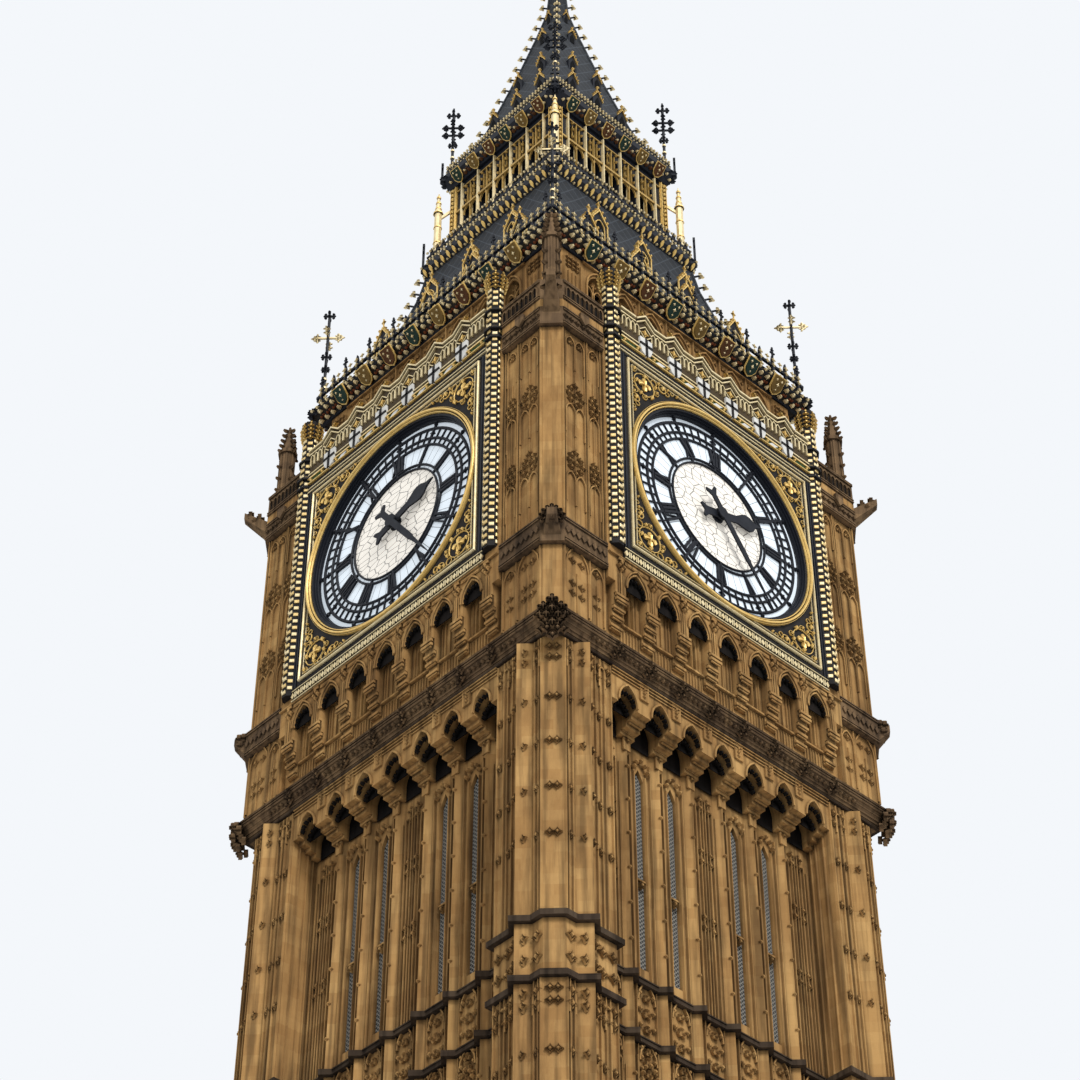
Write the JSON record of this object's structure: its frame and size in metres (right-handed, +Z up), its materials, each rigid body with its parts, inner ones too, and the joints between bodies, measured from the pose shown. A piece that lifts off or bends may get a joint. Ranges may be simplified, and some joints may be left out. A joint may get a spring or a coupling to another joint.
{
  "type": "clock tower, 1:10 scale model",
  "caption": "Square stone clock tower in the Gothic manner: panelled shaft, dial stage, open belfry, steep iron roof with lantern and spire, and turning hands.",
  "frame": {"origin": "on the ground under the middle of the tower", "axes": "+Z up; the front dial faces -Y and the right dial faces +X"},
  "size_m": [1.3822, 1.3822, 9.6],
  "materials": {
    "limestone": "matt",
    "dark_stone": "matt",
    "iron": "matt",
    "gilding": "satin",
    "window_glass": "gloss",
    "opal_glass": "satin",
    "oak": "matt",
    "dark_metal": "satin"
  },
  "bodies": {
    "tower": {"plinth": "limestone", "front_wall": "limestone", "right_wall": "limestone", "back_wall": "limestone", "left_wall": "limestone", "corner_piers": "limestone", "string_courses": "dark_stone", "corbel_tables": "limestone", "main_cornice": "dark_stone", "gallery_walls": "limestone", "clock_corner_piers": "limestone", "clock_walls": "limestone", "parapets": "limestone", "pinnacles": "limestone", "gargoyles": "dark_stone", "belfry_walls": "limestone", "belfry_piers": "limestone", "belfry_floor": "limestone", "eaves_cornice": "dark_stone", "corner_strings": "limestone", "lower_roof": "iron", "roof_lucarnes": "iron", "lantern_gallery": "iron", "lantern_railing": "iron", "lantern_arcades": "iron", "lantern_posts": "iron", "lantern_pinnacles": "iron", "lantern_cornice": "iron", "spire": "iron", "spire_lucarnes": "iron", "spire_cresting": "iron", "eaves_cresting": "iron", "dial_frames": "iron", "dial_surrounds": "iron", "gilt_rings": "gilding", "gilt_pilasters": "gilding", "finial": "gilding", "eaves_crosses": "gilding", "lantern_crosses": "gilding", "window_glass": "window_glass", "dial_glass": "opal_glass", "door": "oak"},
    "front_minute": {"front_minute_hand": "dark_metal"},
    "front_hour": {"front_hour_hand": "dark_metal"},
    "right_minute": {"right_minute_hand": "dark_metal"},
    "right_hour": {"right_hour_hand": "dark_metal"},
    "back_minute": {"back_minute_hand": "dark_metal"},
    "back_hour": {"back_hour_hand": "dark_metal"},
    "left_minute": {"left_minute_hand": "dark_metal"},
    "left_hour": {"left_hour_hand": "dark_metal"}
  },
  "joints": [
    {"name": "front_minute_turn", "type": "hinge", "parent": "tower", "child": "front_minute", "pos_m": [0, -0.64, 5.508], "axis": [0, -1, 0], "continuous": true},
    {"name": "front_hour_turn", "type": "hinge", "parent": "tower", "child": "front_hour", "pos_m": [0, -0.64, 5.508], "axis": [0, -1, 0], "continuous": true},
    {"name": "right_minute_turn", "type": "hinge", "parent": "tower", "child": "right_minute", "pos_m": [0.64, 0, 5.508], "axis": [1, 0, 0], "continuous": true},
    {"name": "right_hour_turn", "type": "hinge", "parent": "tower", "child": "right_hour", "pos_m": [0.64, 0, 5.508], "axis": [1, 0, 0], "continuous": true},
    {"name": "back_minute_turn", "type": "hinge", "parent": "tower", "child": "back_minute", "pos_m": [0, 0.64, 5.508], "axis": [0, 1, 0], "continuous": true},
    {"name": "back_hour_turn", "type": "hinge", "parent": "tower", "child": "back_hour", "pos_m": [0, 0.64, 5.508], "axis": [0, 1, 0], "continuous": true},
    {"name": "left_minute_turn", "type": "hinge", "parent": "tower", "child": "left_minute", "pos_m": [-0.64, 0, 5.508], "axis": [-1, 0, 0], "continuous": true},
    {"name": "left_hour_turn", "type": "hinge", "parent": "tower", "child": "left_hour", "pos_m": [-0.64, 0, 5.508], "axis": [-1, 0, 0], "continuous": true}
  ],
  "couplings": [
    {"joint": "front_hour_turn", "follows": "front_minute_turn", "ratio": 0.083333},
    {"joint": "right_minute_turn", "follows": "front_minute_turn", "ratio": 1},
    {"joint": "right_hour_turn", "follows": "front_minute_turn", "ratio": 0.083333},
    {"joint": "back_minute_turn", "follows": "front_minute_turn", "ratio": 1},
    {"joint": "back_hour_turn", "follows": "front_minute_turn", "ratio": 0.083333},
    {"joint": "left_minute_turn", "follows": "front_minute_turn", "ratio": 1},
    {"joint": "left_hour_turn", "follows": "front_minute_turn", "ratio": 0.083333}
  ]
}
